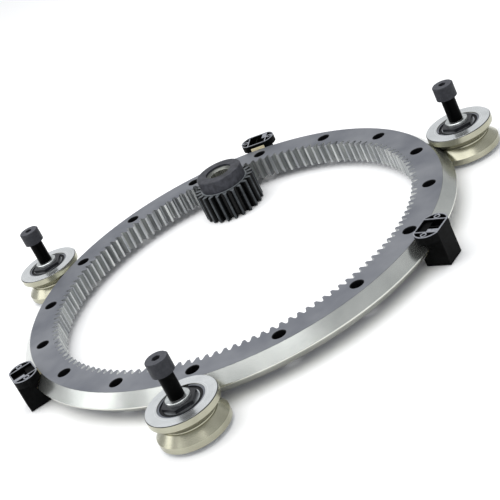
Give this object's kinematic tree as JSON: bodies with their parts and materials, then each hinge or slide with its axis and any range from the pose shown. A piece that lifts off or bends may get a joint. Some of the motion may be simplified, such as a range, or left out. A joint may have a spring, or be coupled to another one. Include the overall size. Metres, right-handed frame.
{
  "type": "slewing ring bearing",
  "caption": "V-edged slewing ring with internal gear teeth, carried by V rollers on studs, with sprung felt lubricators and a driving pinion inside.",
  "frame": {"origin": "centre of the circle of fixing holes, halfway through the ring's thickness", "axes": "+Z along the axis of rotation towards the roller screws; +X through the centre of one fixing hole"},
  "size_m": [0.712, 0.7315, 0.1095],
  "materials": {
    "ring_steel": "ground",
    "blackened_steel": "black oxide",
    "ground_steel": "ground",
    "bearing_steel": "ground",
    "ball_steel": "polished",
    "cage_plastic": "moulded",
    "seal_rubber": "moulded",
    "spring_steel": "satin",
    "spindle_steel": "black oxide with a ground spigot",
    "lubricator_plastic": "fine grain",
    "felt": "dense wool"
  },
  "bodies": {
    "mounting": {"spindle_left": "spindle_steel", "inner_ring_upper_left": "bearing_steel", "inner_ring_lower_left": "bearing_steel", "circlip_left": "spring_steel", "spindle_right": "spindle_steel", "inner_ring_upper_right": "bearing_steel", "inner_ring_lower_right": "bearing_steel", "circlip_right": "spring_steel", "cap_screw_left": "blackened_steel", "cap_screw_front": "blackened_steel", "cap_screw_right": "blackened_steel", "lubricator_body_1": "lubricator_plastic", "lubricator_body_2": "lubricator_plastic", "lubricator_body_3": "lubricator_plastic", "felt_spring_1": "spring_steel", "felt_spring_2": "spring_steel", "felt_spring_3": "spring_steel"},
    "ring": {"ring": "ring_steel"},
    "pinion": {"pinion": "blackened_steel"},
    "eccentric": {"spindle_front": "spindle_steel", "inner_ring_upper_front": "bearing_steel", "inner_ring_lower_front": "bearing_steel", "circlip_front": "spring_steel"},
    "roller_left": {"tyre_left": "ground_steel", "seal_upper_left": "seal_rubber", "seal_lower_left": "seal_rubber", "snap_ring_upper_left": "spring_steel", "snap_ring_lower_left": "spring_steel"},
    "ball_set_left": {"balls_left": "ball_steel", "cage_upper_left": "cage_plastic", "cage_lower_left": "cage_plastic"},
    "roller_front": {"tyre_front": "ground_steel", "seal_upper_front": "seal_rubber", "seal_lower_front": "seal_rubber", "snap_ring_upper_front": "spring_steel", "snap_ring_lower_front": "spring_steel"},
    "ball_set_front": {"balls_front": "ball_steel", "cage_upper_front": "cage_plastic", "cage_lower_front": "cage_plastic"},
    "roller_right": {"tyre_right": "ground_steel", "seal_upper_right": "seal_rubber", "seal_lower_right": "seal_rubber", "snap_ring_upper_right": "spring_steel", "snap_ring_lower_right": "spring_steel"},
    "ball_set_right": {"balls_right": "ball_steel", "cage_upper_right": "cage_plastic", "cage_lower_right": "cage_plastic"},
    "felt_1": {"felt_1": "felt"},
    "felt_2": {"felt_2": "felt"},
    "felt_3": {"felt_3": "felt"}
  },
  "joints": [
    {"name": "ring_spin", "type": "hinge", "parent": "mounting", "child": "ring", "pos_m": [0, 0, 0], "axis": [0, 0, 1], "continuous": true},
    {"name": "pinion_spin", "type": "hinge", "parent": "mounting", "child": "pinion", "pos_m": [0.19208, -0.12284, 0], "axis": [0, 0, 1], "continuous": true},
    {"name": "front_adjust", "type": "hinge", "parent": "mounting", "child": "eccentric", "pos_m": [-0.257, 0.25643, 0], "axis": [0, 0, -1], "range_deg": [0, 180]},
    {"name": "roller_left_spin", "type": "hinge", "parent": "mounting", "child": "roller_left", "pos_m": [0.33294, 0.14477, 0], "axis": [0, 0, 1], "continuous": true},
    {"name": "ball_set_left_spin", "type": "hinge", "parent": "mounting", "child": "ball_set_left", "pos_m": [0.33294, 0.14477, 0], "axis": [0, 0, 1], "continuous": true},
    {"name": "roller_front_spin", "type": "hinge", "parent": "eccentric", "child": "roller_front", "pos_m": [-0.25806, 0.25537, 0], "axis": [0, 0, 1], "continuous": true},
    {"name": "ball_set_front_spin", "type": "hinge", "parent": "eccentric", "child": "ball_set_front", "pos_m": [-0.25806, 0.25537, 0], "axis": [0, 0, 1], "continuous": true},
    {"name": "roller_right_spin", "type": "hinge", "parent": "mounting", "child": "roller_right", "pos_m": [-0.13306, -0.33779, 0], "axis": [0, 0, 1], "continuous": true},
    {"name": "ball_set_right_spin", "type": "hinge", "parent": "mounting", "child": "ball_set_right", "pos_m": [-0.13306, -0.33779, 0], "axis": [0, 0, 1], "continuous": true},
    {"name": "felt_1_slide", "type": "slide", "parent": "mounting", "child": "felt_1", "axis": [0.1771, 0.9842, 0], "range_m": [0, 0.002], "stiffness_N_per_m": 300, "springref_m": -0.003, "deforming": ["felt_spring_1"]},
    {"name": "felt_2_slide", "type": "slide", "parent": "mounting", "child": "felt_2", "axis": [-0.9342, -0.3567, 0], "range_m": [0, 0.002], "stiffness_N_per_m": 300, "springref_m": -0.003, "deforming": ["felt_spring_2"]},
    {"name": "felt_3_slide", "type": "slide", "parent": "mounting", "child": "felt_3", "axis": [0.7193, -0.6947, 0], "range_m": [0, 0.002], "stiffness_N_per_m": 300, "springref_m": -0.003, "deforming": ["felt_spring_3"]}
  ],
  "couplings": [
    {"joint": "pinion_spin", "follows": "ring_spin", "ratio": 6.1818},
    {"joint": "roller_left_spin", "follows": "ring_spin", "ratio": -7.5917},
    {"joint": "ball_set_left_spin", "follows": "ring_spin", "ratio": -4.4227},
    {"joint": "roller_front_spin", "follows": "ring_spin", "ratio": -7.5917},
    {"joint": "ball_set_front_spin", "follows": "ring_spin", "ratio": -4.4227},
    {"joint": "roller_right_spin", "follows": "ring_spin", "ratio": -7.5917},
    {"joint": "ball_set_right_spin", "follows": "ring_spin", "ratio": -4.4227}
  ]
}
